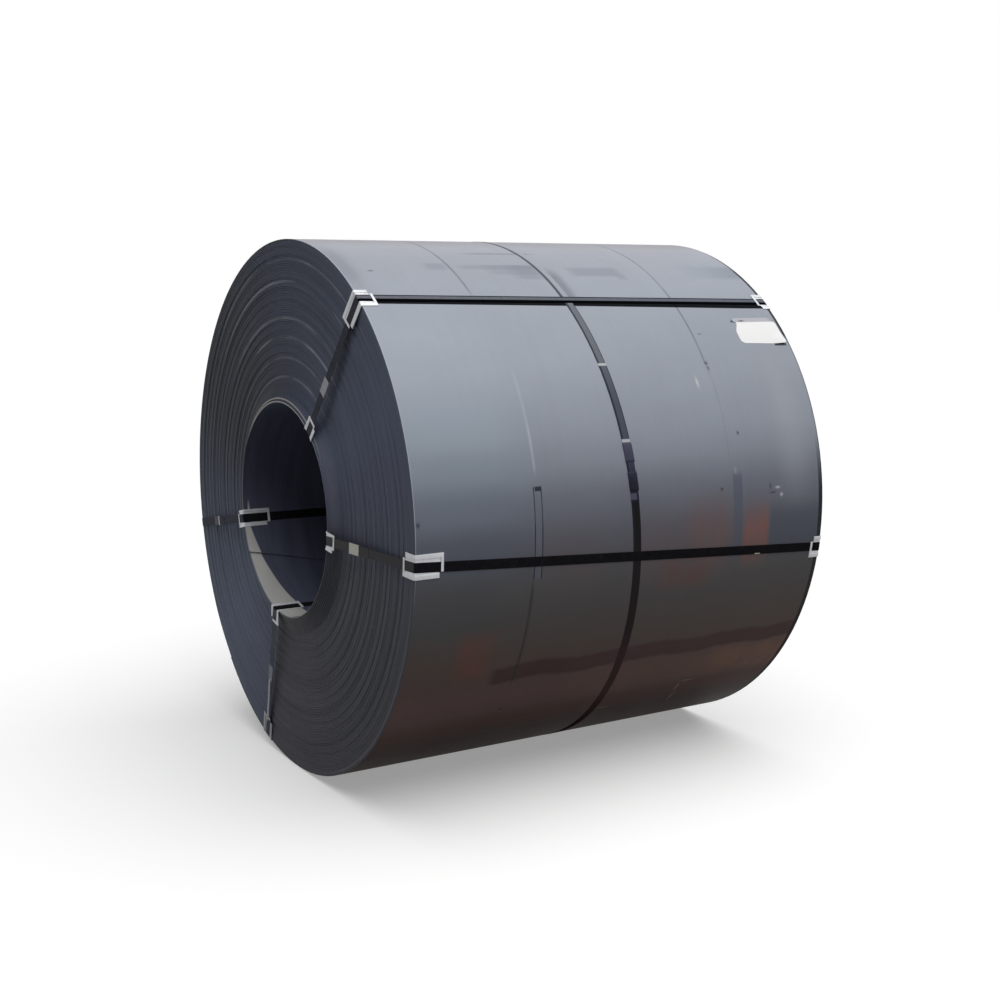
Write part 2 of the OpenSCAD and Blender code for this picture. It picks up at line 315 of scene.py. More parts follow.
# Patches on the body: reach along the axis and its softness, reach round it and its softness, colour as
# seen on a screen, strength
# The patches up to about 40 degrees are painted reflections and painted shade, one of them a painted shadow
# beside the body strap; the rest are patches of other tone
REFLECTION_AND_TONE_PATCHES = [
    ((-0.48, -0.4), 0.02, (24.4, 27.4), 0.8, (134, 137, 149), 0.45),
    ((-0.35, -0.05), 0.03, (25.2, 27.2), 0.6, (134, 138, 149), 0.4),
    ((-0.25, -0.05), 0.03, (25.2, 29.4), 0.6, (130, 135, 146), 0.35),
    ((-0.16, -0.05), 0.04, (25.2, 31.2), 0.7, (126, 131, 143), 0.45),
    ((-0.04, 0.015), 0.02, (28, 40), 3.0, (96, 97, 110), 0.5),
    ((0.08, 0.29), 0.03, (26.2, 30.0), 0.8, (128, 131, 143), 0.45),
    ((0.26, 0.3), 0.008, (29.5, 31.5), 0.5, (128, 131, 143), 0.3),
    ((0.7, 1.0), 0.2, (25.5, 31.0), 1.2, (118, 130, 142), 0.5),
    ((-0.26, 0.0), 0.05, (18.3, 19.1), 0.3, (120, 122, 134), 0.6),
    ((-0.82, -0.75), 0.03, (16, 34), 6.0, (124, 126, 136), 0.5),
    ((0.66, 0.77), 0.05, (60, 84), 9.0, (182, 185, 194), 0.32),
    ((0.594, 0.9), 0.012, (89.2, 99), 2.4, (80, 86, 102), 0.6),
    ((-0.85, -0.43), 0.12, (62, 73), 3.0, (164, 177, 189), 0.5),
    ((-0.85, -0.43), 0.12, (73, 80), 3.0, (147, 160, 173), 0.5),
    ((-0.85, -0.43), 0.12, (80, 87), 3.0, (124, 134, 150), 0.5),
    ((-0.85, -0.45), 0.1, (88, 97), 3.0, (92, 102, 120), 0.4),
    ((-0.85, -0.5), 0.1, (98, 108), 3.0, (80, 83, 87), 0.5),
]
RUST = [
    ((0.475, 0.588), 0.012, (89, 99), 4.0, (144, 99, 90), 0.75),
    ((0.22, 0.42), 0.06, (87, 99), 6.0, (124, 97, 94), 0.65),
    ((0.0, 0.2), 0.04, (88, 99), 5.0, (118, 96, 96), 0.35),
    ((-0.35, -0.1), 0.05, (89, 99), 5.0, (112, 94, 95), 0.3),
    ((0.12, 0.33), 0.05, (98, 104), 2.0, (108, 80, 76), 0.6),
    ((-0.62, -0.5), 0.04, (109, 119), 3.0, (118, 78, 71), 0.75),
    ((0.45, 0.9), 0.1, (122, 131), 2.5, (142, 110, 92), 0.7),
    ((-0.1, 0.45), 0.1, (122, 131), 2.5, (126, 100, 90), 0.4),
]
# Marks that two straps of an earlier bundling have left: a scored line, a pale streak and a framed band for
# one, two scored lines, a band and a scuff for the other
OLD_STRAPS = [
    ((-0.395, -0.388), 0.003, (4, 36), 3.0, (100, 103, 115), 0.75),
    ((-0.376, -0.366), 0.005, (57, 76), 3.0, (196, 200, 208), 0.3),
    ((-0.373, -0.366), 0.003, (68, 77), 1.5, (206, 210, 218), 0.3),
    ((-0.379, -0.353), 0.001, (80.2, 98), 0.2, (112, 120, 136), 0.3),
    ((-0.383, -0.379), 0.001, (80.0, 98), 0.2, (44, 46, 56), 1.0),
    ((-0.355, -0.351), 0.001, (80.0, 98), 0.2, (44, 46, 56), 1.0),
    ((-0.376, -0.353), 0.001, (80.0, 80.9), 0.15, (44, 46, 56), 1.0),
    ((-0.388, -0.377), 0.003, (99, 122), 2.0, (54, 52, 52), 0.7),
    ((0.411, 0.418), 0.003, (6, 58), 3.0, (100, 102, 114), 0.7),
    ((0.419, 0.424), 0.002, (58, 80), 3.0, (116, 118, 128), 0.3),
    ((0.427, 0.468), 0.004, (81, 99), 1.0, (88, 94, 112), 0.6),
    ((0.435, 0.446), 0.003, (79.6, 80.9), 0.3, (176, 178, 186), 0.4),
]
# Painted shadow under the label's loose corner, a painted highlight along the near rim's edge, and painted
# shade along the edge of the far rim
EDGE_SHADE_AND_HIGHLIGHT = [
    ((label_high.x - 0.055, label_high.x), 0.003, (LABEL_END, LABEL_END + 0.6), 0.1, (0, 0, 0), 0.9),
    ((NEAR_RIM_X - 0.1, NEAR_RIM_X + 0.004), 0.001, (-60, 95), 10.0, (206, 209, 216), 0.75),
    ((FAR_RIM_X - 0.006, 1), 0.004, (-200, 200), 1.0, (60, 62, 68), 0.6),
    ((FAR_RIM_X - 0.01, 1), 0.003, (18, 28), 4.0, (12, 13, 16), 0.7),
    ((FAR_RIM_X - 0.014, 1), 0.003, (27, 51), 1.5, (12, 13, 16), 0.95),
    ((FAR_RIM_X - 0.02, 1), 0.003, (80, 180), 8.0, (14, 14, 16), 0.95),
]
# Specks of dirt, bare chips and pale dried runs: axial place, angle, half reach along and round in metres
SPECKS = [
    (0.419, 56.6, 0.006, 0.006),
    (0.421, 57.8, 0.003, 0.008),
    (0.448, 49.2, 0.008, 0.002),
    (0.474, 72.5, 0.005, 0.006),
    (0.377, 83.9, 0.006, 0.005),
    (0.594, 84.2, 0.003, 0.01),
    (0.606, 85.6, 0.012, 0.003),
    (-0.796, 85.2, 0.006, 0.008),
    (-0.828, 77.0, 0.005, 0.008),
    (-0.698, 28.0, 0.009, 0.004),
    (-0.374, 130.5, 0.008, 0.006),
    (-0.388, 138.8, 0.01, 0.022),
    (0.075, 141.0, 0.03, 0.01),
]
CHIPS = [
    (0.351, 61.0, 0.005, 0.018),
    (0.628, 84.6, 0.01, 0.004),
    (0.645, 86.2, 0.006, 0.006),
]
RUNS = [
    (0.43, 139.5, 0.003, 0.03),
    (0.412, 135.0, 0.004, 0.022),
    (0.44, 132.6, 0.024, 0.003),
    (0.11, 138.6, 0.02, 0.003),
]
DOT_STRENGTH = 0.85
# Painted shadow line under the first eye strap, in degrees below the strap's middle
STRAP_SHADOW = (0.5, 1.62)
STRAP_SHADOW_SOFT = 0.08
# Dark band low on the body: reach round, softness, waviness, and reach along
LOW_DARK_BAND = (117.4, 121.6)
LOW_DARK_SOFT = 0.6
LOW_DARK_WAVE = 0.7
LOW_DARK_ALONG = (-0.47, 0.87)
# Reach of the body along the axis that slow changes of tone are set on
BODY_SPAN = (-0.7, 0.7)
# Angles between which the body turns away from the light, and its specular level before and after
UNDERSIDE = (98.0, 125.0)
BODY_SHEEN = (0.15, 0.05)


def painted(g, shade, x, angle, patches, thin=1.0):
    for along, along_soft, round_it, round_soft, colour, strength in patches:
        mask = g.times(g.window(x, *along, along_soft), g.window(angle, *round_it, round_soft))
        shade = g.mix(g.times(mask, strength, thin), shade, colour)
    return shade


def dotted(g, shade, x, angle, dots, colour):
    spots = []
    for place, at, along, round_it in dots:
        spots.append(g.spot(x, angle, (place, at), (along, math.degrees(round_it / COIL_R))))
    return g.mix(g.times(g.most(spots), DOT_STRENGTH), shade, colour)


def low_dark_band(g, shade, x, angle):
    """Dark wavy band low on the body."""
    wave = g.math("ADD", angle, g.spread(g.flow(x, 0.0, 0.2, 1.0, 4.0), -LOW_DARK_WAVE, LOW_DARK_WAVE))
    band = g.times(g.window(wave, *LOW_DARK_BAND, LOW_DARK_SOFT), g.window(x, *LOW_DARK_ALONG, 0.02))
    return g.mix(g.times(band, 0.9), shade, (72, 54, 52))


def body_scale(g, x, angle, drift, streak):
    """Bare mill scale with painted shade by angle, its drift of tone, streaks and clouds."""
    cloud = g.flow(x, angle, 0.22, 9.0, 6.0, 4.0)
    level = g.math("ADD", g.spread(drift, 0.96, 1.03), g.spread(streak, -0.015, 0.015))
    level = g.times(level, g.fit(cloud, 0.35, 0.65, 0.98, 1.02))
    slope = g.times(g.window(angle, 42, 66, 8.0), g.fit(x, *BODY_SPAN, -0.08, 0.09))
    return g.tint(g.tones_down(angle, BODY_TONES_AND_SHADE), g.math("SUBTRACT", level, slope))


def body_marks(g, shade, x, angle):
    """Painted reflections and shade with patches of other tone, rust, a dark band low down, marks of earlier
    straps, dirt and chips.
    """
    rust_grain = g.fit(g.flow(x, angle, 0.1, 8.0, 0.0, 4.0), 0.36, 0.6, 0.5, 1.0)
    rubbed_out = g.fit(g.flow(x, angle, 0.3, 6.0, 3.0), 0.35, 0.55, 0.7, 1.0)
    shade = painted(g, shade, x, angle, REFLECTION_AND_TONE_PATCHES)
    shade = painted(g, shade, x, angle, RUST, rust_grain)
    shade = low_dark_band(g, shade, x, angle)
    shade = painted(g, shade, x, angle, OLD_STRAPS, rubbed_out)
    shade = dotted(g, shade, x, angle, SPECKS, (44, 46, 54))
    shade = dotted(g, shade, x, angle, CHIPS, (212, 214, 216))
    return dotted(g, shade, x, angle, RUNS, (156, 138, 126))


def strap_shadow_line(g, x, angle):
    """1 in the painted shadow line under the first eye strap, which narrows toward the near rim."""
    near, far = EYE_ANGLES[0][NEAR_RIM], EYE_ANGLES[0][FAR_RIM]
    below = g.math("SUBTRACT", angle, g.fit(x, NEAR_RIM_X, FAR_RIM_X, near, far))
    return g.window(g.times(below, g.fit(x, *BODY_SPAN, 1.0, 0.75)), *STRAP_SHADOW, STRAP_SHADOW_SOFT)


def body_sheen(g, angle, lit, shaded):
    """Specular level that falls where the body turns toward the floor."""
    return g.fit(g.math("ABSOLUTE", angle), *UNDERSIDE, lit, shaded)


def body_material():
    g = Graph("mill_scale_body")
    x, angle, _ = g.coil_coordinates()
    drift = g.flow(x, angle, 0.6, 40.0, 1.0, 4.0, 0.6)
    streak = g.flow(x, angle, 0.018, 55.0, 2.0)
    shade = body_marks(g, body_scale(g, x, angle, drift, streak), x, angle)
    strap_shadow = strap_shadow_line(g, x, angle)
    # Painted shadow under the first eye strap, where the specular level is also taken away
    shade = g.mix(g.times(strap_shadow, 0.97), shade, (8, 9, 12))
    # Painted shadow under the label's corner, painted highlight on the near rim and painted shade on the far
    # rim
    shade = painted(g, shade, x, angle, EDGE_SHADE_AND_HIGHLIGHT)
    sheen = g.times(body_sheen(g, angle, *BODY_SHEEN), g.fit(strap_shadow, 0.0, 1.0, 1.0, 0.0))
    return g.finish(Base_Color=shade, Roughness=g.spread(drift, 0.5, 0.62), Specular_IOR_Level=sheen,
                    Normal=g.bump(streak, 0.03, 1 * MM))


# Edges of the turns round an end, by angle; two coats of dust meet in a step near the third eye strap
END_STEP = 196.2
END_TONES = [
    (0, 64, 71, 88),
    (30, 78, 85, 103),
    (60, 92, 100, 121),
    (85, 88, 93, 110),
    (105, 80, 82, 91),
    (135, 73, 74, 80),
    (165, 78, 78, 85),
    (END_STEP - 0.5, 82, 82, 90),
    (END_STEP + 0.5, 90, 96, 114),
    (230, 102, 110, 131),
    (262, 82, 89, 105),
    (290, 56, 60, 69),
    (320, 51, 55, 65),
    (342, 52, 58, 72),
    (360, 64, 71, 88),
]
# Turns that stand out and catch the light at the top of an end
PROUD_TURNS = (15, 26, 38, 49, 70, 83)
# Patches on the ends: reach in turns from the eye and its softness, reach round and its softness, colour,
# strength
# The first patch darkens the turns on the upper left near the eye; the second is painted light on the flank
# of the telescoped turns right of the eye
END_PATCHES = [
    ((3, 34), 10.0, (-75, 14), 16.0, (44, 48, 58), 0.4),
    ((2, 9), 3.0, (46, 92), 8.0, (132, 134, 146), 0.35),
]
# Bare edges of the first and third turns at the top of the eye, with a painted highlight where the light
# falls on them
WORN_AND_LIT_TURNS = [
    ((-1, 0.8), 0.15, (-48, 48), 14.0, (226, 223, 217), 0.85),
    ((2, 2.8), 0.15, (-48, 48), 14.0, (226, 223, 217), 0.85),
]
RIM_TURNS = [
    ((TURNS - 1.3, TURNS + 1), 0.2, (-178, 4), 6.0, (24, 26, 30), 0.75),
    ((TURNS - 2.4, TURNS - 1.4), 0.3, (100, 165), 14.0, (128, 128, 136), 0.5),
]
# The same columns for a painted highlight on the edge of the innermost turn low round the eye, with the reach
# round as 0 to 360 degrees
INNER_EDGE_HIGHLIGHT = [
    ((-1, 0.6), 0.2, (100, 290), 12.0, (168, 168, 170), 0.4),
]
END_SHEEN = 0.1


def strap_shade(g, shade, angle, radius):
    """Soft shade on an end along the lower side of the first eye strap."""
    eye, rim = EYE_ANGLES[0][NEAR_EYE], EYE_ANGLES[0][NEAR_RIM]
    turn_off = g.math("SUBTRACT", angle, g.fit(radius, BORE_R, COIL_R, eye, rim))
    off = g.times(radius, g.math("SINE", g.math("MULTIPLY", turn_off, math.radians(1))))
    mask = g.times(g.window(off, 0.01, 0.04, 0.02), g.window(angle, 20, 70, 5.0))
    return g.mix(g.times(mask, g.fit(radius, BORE_R, COIL_R, 0.3, 0.75)), shade, (36, 40, 50))


def swung(g, noise, mask, least, greatest):
    """Level about 1 that swings with a noise, least where mask is 0 and most where it is 1."""
    return g.math("ADD", 1.0, g.times(g.spread(noise, -1.0, 1.0), g.fit(mask, 0.0, 1.0, least, greatest)))


def end_turns(g, turn, angle, rings):
    """Edges of the turns with fine rings painted stronger at the top, where light catches them, wide bands
    low down and painted highlights on some proud turns.
    """
    top = g.window(angle, -42, 40, 16.0)
    low = g.window(g.full_angle(angle), 95, 195, 12.0)
    bands = g.flow(turn, angle, 11.0, 55.0, 5.0)
    level = g.times(swung(g, rings, top, 0.05, 0.26), swung(g, bands, low, 0.07, 0.17))
    shade = g.tint(g.tones_round(angle, END_TONES), level)
    proud = g.most([g.window(turn, at - 0.6, at + 0.6, 0.7) for at in PROUD_TURNS])
    broken = g.fit(g.flow(turn, angle, 9.0, 26.0, 9.0, 3.0), 0.4, 0.6)
    return g.mix(g.times(proud, top, broken, 0.75), shade, (172, 176, 188))


def end_material():
    g = Graph("mill_scale_ends")
    _, angle, radius = g.coil_coordinates()
    turn = g.math("DIVIDE", g.math("SUBTRACT", radius, BORE_R), STRIP_T)
    rings = g.flow(turn, angle, 2.4, 60.0, 1.0, 3.0, 0.6)
    shade = painted(g, end_turns(g, turn, angle, rings), turn, angle, END_PATCHES)
    shade = strap_shade(g, shade, angle, radius)
    shade = painted(g, shade, turn, angle, WORN_AND_LIT_TURNS)
    shade = painted(g, shade, turn, g.full_angle(angle), INNER_EDGE_HIGHLIGHT)
    shade = painted(g, shade, turn, angle, RIM_TURNS)
    return g.finish(Base_Color=shade, Roughness=0.55, Specular_IOR_Level=END_SHEEN,
                    Normal=g.bump(rings, 0.04, 1 * MM))


# Painted light low in the mouth of the eye, where the light reaches in: angles where it starts and is
# deepest, its least depth and its growth
LIT_ANGLES = (262.0, 199.0)
LIT_DEPTH = 8 * MM
LIT_GROWTH = 86 * MM


def bore_mouth_light(g, x, angle):
    """1 where light is painted low in the mouth of the eye, with a thin painted glint at its upper end."""
    turned = g.full_angle(angle)
    depth = g.math("SUBTRACT", x, MOUTH_X)
    growth = g.times(g.math("POWER", g.fit(turned, *LIT_ANGLES), 0.9), LIT_GROWTH)
    inside = g.math("SUBTRACT", g.math("ADD", LIT_DEPTH, growth), depth)
    painted_light = g.times(g.fit(inside, -0.003, 0.003, 0.0, 1.0, "SMOOTHSTEP"), g.window(turned, 172, 257, 1.5))
    wisp = g.times(g.window(depth, 0.02, 0.026, 0.003), g.window(turned, 257, 266, 3.0))
    return g.most([painted_light, wisp])


def bore_material():
    g = Graph("mill_scale_eye")
    x, angle, _ = g.coil_coordinates()
    streak = g.flow(x, angle, 0.04, 60.0, 2.0)
    shade = g.ramp(streak, [(NOISE_RANGE[0], 76, 80, 97), (NOISE_RANGE[1], 90, 94, 113)])
    haze = g.spread(g.flow(x, angle, 0.05, 20.0, 8.0), 0.85, 1.0)
    # Painted light low in the mouth of the eye, where the light reaches in
    shade = g.mix(g.times(bore_mouth_light(g, x, angle), haze), shade, (202, 201, 197))
    return g.finish(Base_Color=shade, Roughness=0.5, Specular_IOR_Level=END_SHEEN)


# Paint of the body strap low down, and from the top of the coil: pale with the same painted reflection and
# painted shade as the scale, then black
BELLY_LOW_TONES = [
    (112, 46, 38, 39),
    (119, 70, 54, 56),
    (130, 90, 72, 70),
    (140, 76, 57, 50),
    (180, 50, 40, 36),
]
BELLY_PAINT_AND_LIGHT = [
    (0, 156, 156, 163),
    (14, 168, 170, 178),
    (38.5, 164, 169, 179),
    (40, 116, 120, 129),
    (55.6, 112, 116, 126),
    (56.4, 99, 104, 116),
    (63, 86, 90, 102),
    (72, 82, 87, 100),
    (73, 84, 86, 104),
    (76, 74, 76, 95),
    (80.5, 42, 43, 58),
    (84.4, 36, 37, 50),
    (85.2, 28, 27, 28),
    (97, 31, 29, 31),
    *BELLY_LOW_TONES,
]
# The same on the side away from the front, where no seal or eye strap breaks the pale top
BELLY_BACK_PAINT_AND_LIGHT = [
    (0, 156, 156, 163),
    (20, 150, 153, 161),
    (60, 104, 108, 118),
    (90, 46, 46, 52),
    *BELLY_LOW_TONES,
]
BELLY_SHEEN = (0.05, 0.0)
# Grain of the strap paint: scale, detail and roughness of its noise, and the roughness it gives the paint
SCUFF = (60.0, 5.0, 0.7)
PAINT_ROUGHNESS = (0.42, 0.6)


def belly_edge_shade(g, angle):
    """1 along both edges of the body strap, for painted shade along them."""
    reach = g.fit(angle, 38.0, 42.0, 0.4, 0.15)
    near_side = g.window(g.math("SUBTRACT", g.across(), reach), -1.6, -0.72, 0.1)
    far_side = g.times(g.window(g.across(), 0.8, 1.2, 0.08), g.window(angle, 39, 110, 2.0))
    return g.times(g.most([near_side, far_side]), g.window(angle, -10, 100, 6.0))


def belly_material():
    g = Graph("strap_paint_body")
    _, angle, _ = g.coil_coordinates()
    # Painted reflection and painted shade by angle on the body strap, on the front and on the back
    front = g.tones_down(angle, BELLY_PAINT_AND_LIGHT)
    back = g.tones_down(angle, BELLY_BACK_PAINT_AND_LIGHT)
    scuff = g.noise(g.position(), *SCUFF)
    shade = g.tint(g.mix(g.fit(angle, -6.0, 0.0), back, front), g.spread(scuff, 0.94, 1.06))
    # Painted shade along both edges of the body strap
    shade = g.mix(g.times(belly_edge_shade(g, angle), 0.8), shade, (38, 40, 50))
    cut = g.most([g.window(angle, 55.75, 56.35, 0.08), g.window(angle, 72.15, 72.8, 0.08)])
    shade = g.mix(g.times(cut, 0.85), shade, (206, 208, 212))
    rub = g.times(g.window(angle, 83.0, 84.3, 0.15), g.window(g.across(), -1.2, 0.5, 0.1))
    shade = g.mix(g.times(rub, 0.8), shade, (96, 99, 120))
    return g.finish(Base_Color=shade, Roughness=g.spread(scuff, *PAINT_ROUGHNESS),
                    Specular_IOR_Level=body_sheen(g, angle, *BELLY_SHEEN))


# Paint of the eye straps over an end, by angle: they pick up the tone of the turns beside them
END_PAINT = [
    (0, 36, 40, 51),
    (60, 36, 40, 51),
    (95, 64, 62, 65),
    (150, 62, 62, 66),
    (194, 54, 58, 72),
    (230, 46, 50, 61),
    (260, 38, 44, 58),
    (330, 36, 40, 51),
]
BLACK_PAINT = [
    (0.4, 29, 28, 31),
    (0.62, 34, 33, 36),
    (0.78, 50, 49, 53),
]
# Painted glint along the edge of the lap on the third eye strap: distance from the axis, angle and place
# across
LAP_GLINT_RADII = (0.655, 0.88)
LAP_GLINT_ANGLES = (180, 215)
LAP_GLINT_ACROSS = (-1.2, -0.1)


def lap_glint(g, turned, radius):
    on_run = g.times(g.window(radius, *LAP_GLINT_RADII, 0.01), g.window(turned, *LAP_GLINT_ANGLES, 1.0))
    return g.times(on_run, g.window(g.across(), *LAP_GLINT_ACROSS, 0.1))


def strap_top_light(g, shade, x, on_top, scuff):
    """Black strap on the upper side of the body with a painted reflection along its middle and painted shade
    at its edges.
    """
    shade = g.mix(on_top, shade, (9, 10, 13))
    line = g.times(on_top, g.window(g.across(), -0.2, 0.72, 0.12))
    painted_light = g.ramp(g.fit(x, -0.5, 0.2), [(0.0, 116, 119, 128), (1.0, 112, 117, 128)])
    return g.mix(g.times(line, g.spread(scuff, 0.8, 1.0)), shade, painted_light)


def strap_material():
    g = Graph("strap_paint")
    x, angle, radius = g.coil_coordinates()
    turned = g.full_angle(angle)
    scuff = g.noise(g.position(), *SCUFF)
    over_end = g.tint(g.tones_round(angle, END_PAINT), g.spread(scuff, 0.92, 1.08))
    on_end = g.window(radius, BORE_R + 0.004, COIL_R - 0.003, 0.002)
    shade = g.mix(on_end, g.ramp(scuff, BLACK_PAINT), over_end)
    # Painted glint along the edge of the third strap's lap
    shade = g.mix(g.times(lap_glint(g, turned, radius), 0.95), shade, (222, 225, 236))
    outside = g.fit(radius, COIL_R - 0.004, COIL_R)
    upward = g.fit(g.math("ABSOLUTE", angle), 45.0, 80.0, 1.0, 0.0)
    # Painted reflection and painted shade on the eye straps where they run over the upper body
    shade = strap_top_light(g, shade, x, g.times(outside, upward), scuff)
    chip = g.times(g.window(x, 0.535, 0.558, 0.003), g.window(angle, 97.5, 110, 0.2), outside)
    shade = g.mix(g.times(chip, g.window(g.across(), -1.2, -0.78, 0.08)), shade, (216, 216, 212))
    sheen = g.times(on_end, g.fit(turned, 215.0, 250.0, 0.05, 0.02))
    return g.finish(Base_Color=shade, Roughness=g.spread(scuff, *PAINT_ROUGHNESS), Specular_IOR_Level=sheen)


# Tone of the seals and of the guards, by angle
SEAL_TONES = [
    (40, 146, 149, 156),
    (80, 186, 185, 176),
    (110, 190, 189, 178),
    (180, 88, 92, 104),
    (262, 52, 57, 69),
]
GUARD_TONES = [
    (0, 230, 232, 236),
    (120, 228, 230, 234),
    (165, 150, 151, 157),
    (205, 150, 151, 157),
    (240, 222, 224, 228),
]
ZINC_METALLIC = 0.15
GLINT_EDGE = 6 * MM


def seal_material():
    g = Graph("seal_zinc")
    _, angle, radius = g.coil_coordinates()
    turned = g.full_angle(angle)
    grain = g.noise(g.position(), 120.0, 3.0, 0.6)
    shade = g.tint(g.tones_round(angle, SEAL_TONES), g.spread(grain, 0.9, 1.08))
    # Painted glint on the inner end of the fourth eye strap's seal, where its crimped edge catches the light
    glint_to = EYE_SEAL_AT[3] - EYE_SEAL_L / 2 + GLINT_EDGE
    edge_glint = g.times(g.window(radius, 0.0, glint_to, 0.002), g.window(turned, 240, 275, 1.0))
    shade = g.mix(edge_glint, shade, (252, 252, 250))
    sheen = g.fit(turned, 205.0, 250.0, 0.3, 0.05)
    return g.finish(Base_Color=shade, Metallic=ZINC_METALLIC, Roughness=0.5, Specular_IOR_Level=sheen)


def guard_material():
    g = Graph("guard_zinc")
    _, angle, radius = g.coil_coordinates()
    grain = g.noise(g.position(), 45.0, 3.0, 0.5)
    on_rim = g.fit(radius, COIL_R - 0.2, COIL_R - 0.15)
    tone = g.mix(on_rim, (226, 228, 232), g.tones_round(angle, GUARD_TONES))
    shade = g.tint(tone, g.spread(grain, 0.93, 1.04))
    return g.finish(Base_Color=shade, Metallic=ZINC_METALLIC, Roughness=g.spread(grain, 0.3, 0.42))


# Painted shadows in the gaps under the peeled strip of the label, as dots on the body
LABEL_CURL_SHADOWS = [
    (0.666, LABEL_START - 0.3, 0.012, 0.003),
    (0.622, LABEL_START - 0.3, 0.006, 0.005),
]


def label_material():
    g = Graph("label_paper")
    x, angle, _ = g.coil_coordinates()
    fibre = g.noise(g.position(), 220.0, 4.0, 0.6)
    shade = g.ramp(fibre, [(NOISE_RANGE[0], 252, 252, 251), (NOISE_RANGE[1], 255, 255, 255)])
    # The peeled strip past the upper edge is greyer: painted shade on the paper turned away from the light
    peeled_shade = g.fit(angle, LABEL_START - 0.03, LABEL_START + 0.03, 0.9, 0.0)
    shade = g.mix(peeled_shade, shade, (196, 197, 206))
    shade = dotted(g, shade, x, angle, LABEL_CURL_SHADOWS, (52, 54, 64))
    return g.finish(Base_Color=shade, Roughness=0.8, Specular_IOR_Level=0.2,
                    Normal=g.bump(fibre, 0.05, 0.5 * MM))


# Slots of the wound strip's materials
BODY, ENDS, BORE = range(3)
# Set-back of the turns' edges: share, degrees for each turn and multiple of the end's phase of each wave
SET_BACK_WAVES = ((0.45, 29, 1), (0.35, 9.7, 2), (0.2, 71, 3))
NEAR_PHASE = 20
FAR_PHASE = 65
# The strip starts in the eye with a tongue-shaped crop end, and every turn climbs over it in one short ramp
STEPS = 144
RAMP_STEPS = 6
HEAD_ANGLE = -122.0
TONGUE = 18.4
TONGUE_FADE = 14
WALL_COLUMNS = 14
# Steps along the strip, with the turns made, the radius of its inner face and the angle at each
STEP = np.arange(TURNS * STEPS - RAMP_STEPS + 1)
TURN = STEP / STEPS
CLIMB = smooth((STEP % STEPS - (STEPS - RAMP_STEPS)) / RAMP_STEPS)
INNER_R = BORE_R + STRIP_T * (STEP // STEPS + CLIMB)
STRIP_ANGLE = HEAD_ANGLE + FULL_TURN * TURN


class Rows:
    """Vertices and faces of a mesh that is built from rows of points."""

    def __init__(self):
        self.points = []
        self.faces = []
        self.slots = []
        self.count = 0

    def add(self, block):
        """Adds a row of points and returns their numbers."""
        first = self.count
        self.points.append(block)
        self.count += len(block)
        return first + np.arange(len(block))

    def x_of(self, row):
        return np.concatenate(self.points)[row, 0]

    def add_faces(self, quads, slot):
        self.faces.append(quads)
        self.slots.append(np.full(len(quads), slot))

    def join(self, a, b, slot, flip):
        """Quads between two equally long rows."""
        quads = np.stack([a[:-1], b[:-1], b[1:], a[1:]], -1)
        self.add_faces(quads[:, ::-1] if flip else quads, slot)

    def make(self, name, materials):
        faces = np.concatenate(self.faces).tolist()
        return new_object(name, np.concatenate(self.points), faces, materials, np.concatenate(self.slots),
                          SHARP_FROM)


def turn_set_back(phase):
    """Set-back of the strip's edge at each step, as in the solid but running on along the strip."""
    knee = math.ceil(TELESCOPE_RING / STRIP_T)
    fade = np.clip(np.minimum((TURN - knee) / 5, (TURNS - 2 - TURN) / 7), 0, 1)
    total = 0
    for share, rate, times in SET_BACK_WAVES:
        total = total + share * np.sin(np.radians(rate * TURN + times * phase)) ** 2
    return TURN_WANDER * fade * total


def strip_edges():
    """Axial place of the strip's edge at each step, on the -X end and on the +X end."""
    out = TELESCOPE * np.clip(1 - TURN * STRIP_T / TELESCOPE_RING, 0, 1)
    near = NEAR_RIM_X - out + turn_set_back(NEAR_PHASE)
    far = FAR_RIM_X - out - turn_set_back(FAR_PHASE)
    return near, far


def add_end(rows, side, edge):
    """Edges of all the turns at one end, each between two bevels; returns the rows that the walls join."""
    first_turn = STEP < STEPS
    last_turn = STEP > STEP[-1] - STEPS
    before = np.where(first_turn, edge, np.roll(edge, STEPS))
    deepest = side * np.minimum(side * edge, side * before)
    groove_x = np.where(first_turn, edge - side * CORNER, deepest - side * TURN_BEVEL)
    bevel_in = np.where(first_turn, CORNER, TURN_BEVEL)
    bevel_out = np.where(last_turn, CORNER, TURN_BEVEL)
    groove = rows.add(on_coil(groove_x, INNER_R, STRIP_ANGLE))
    inner = rows.add(on_coil(edge, INNER_R + bevel_in, STRIP_ANGLE))
    outer = rows.add(on_coil(edge, INNER_R + STRIP_T - bevel_out, STRIP_ANGLE))
    rim_x = edge[last_turn] - side * CORNER
    rim = rows.add(on_coil(rim_x, INNER_R[last_turn] + STRIP_T, STRIP_ANGLE[last_turn]))
    flip = side > 0
    rows.join(groove, inner, ENDS, flip)
    rows.join(inner, outer, ENDS, flip)
    rows.join(outer, np.concatenate([groove[STEPS:], rim]), ENDS, flip)
    return {
        "mouth": groove[:STEPS + 1],
        "rim": np.concatenate([groove[-1:], rim]),
        "head": [groove[0], inner[0], outer[0], groove[STEPS]],
        "tail": [groove[-1], inner[-1], outer[-1], rim[-1]],
    }


